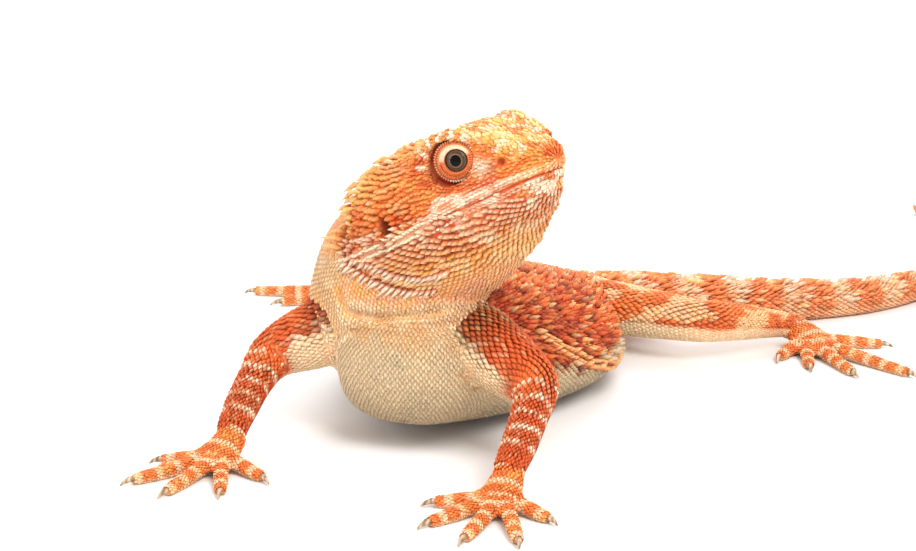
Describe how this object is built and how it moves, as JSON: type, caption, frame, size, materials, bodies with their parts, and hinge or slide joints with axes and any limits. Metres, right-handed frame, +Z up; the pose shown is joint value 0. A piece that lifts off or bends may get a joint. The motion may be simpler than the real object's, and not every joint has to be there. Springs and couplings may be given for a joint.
{
  "type": "bearded dragon",
  "caption": "Bearded dragon lizard at rest, chest raised on straight forelegs, belly and tail on the floor, head turned to its left.",
  "frame": {"origin": "middle of the footprint on the floor", "axes": "+Z up; the trunk points towards -Y, the tail towards +Y, and the head looks towards +X, the animal's left"},
  "size_m": [0.2, 0.3392, 0.0809],
  "materials": {
    "scaled_skin": "scaly, dry",
    "pale_skin": "scaly, dry",
    "claw_horn": "horn",
    "eye": "wet gloss"
  },
  "bodies": {
    "root": {"beard": "pale_skin", "chest": "scaled_skin", "eye_left": "eye", "eye_right": "eye", "foot_left": "scaled_skin", "foot_left_claw_1": "claw_horn", "foot_left_claw_2": "claw_horn", "foot_left_claw_3": "claw_horn", "foot_left_claw_4": "claw_horn", "foot_left_claw_5": "claw_horn", "foot_right": "scaled_skin", "foot_right_claw_1": "claw_horn", "foot_right_claw_2": "claw_horn", "foot_right_claw_3": "claw_horn", "foot_right_claw_4": "claw_horn", "foot_right_claw_5": "claw_horn", "forearm_left": "scaled_skin", "forearm_right": "scaled_skin", "hand_left": "scaled_skin", "hand_left_claw_1": "claw_horn", "hand_left_claw_2": "claw_horn", "hand_left_claw_3": "claw_horn", "hand_left_claw_4": "claw_horn", "hand_left_claw_5": "claw_horn", "hand_right": "scaled_skin", "hand_right_claw_1": "claw_horn", "hand_right_claw_2": "claw_horn", "hand_right_claw_3": "claw_horn", "hand_right_claw_4": "claw_horn", "hand_right_claw_5": "claw_horn", "head": "scaled_skin", "lower_jaw": "pale_skin", "neck": "pale_skin", "pelvis": "scaled_skin", "shank_left": "scaled_skin", "shank_right": "scaled_skin", "tail_1": "scaled_skin", "tail_2": "scaled_skin", "tail_3": "scaled_skin", "tail_4": "scaled_skin", "tail_5": "scaled_skin", "thigh_left": "scaled_skin", "thigh_right": "scaled_skin", "trunk": "scaled_skin", "upper_arm_left": "scaled_skin", "upper_arm_right": "scaled_skin"}
  },
  "joints": []
}
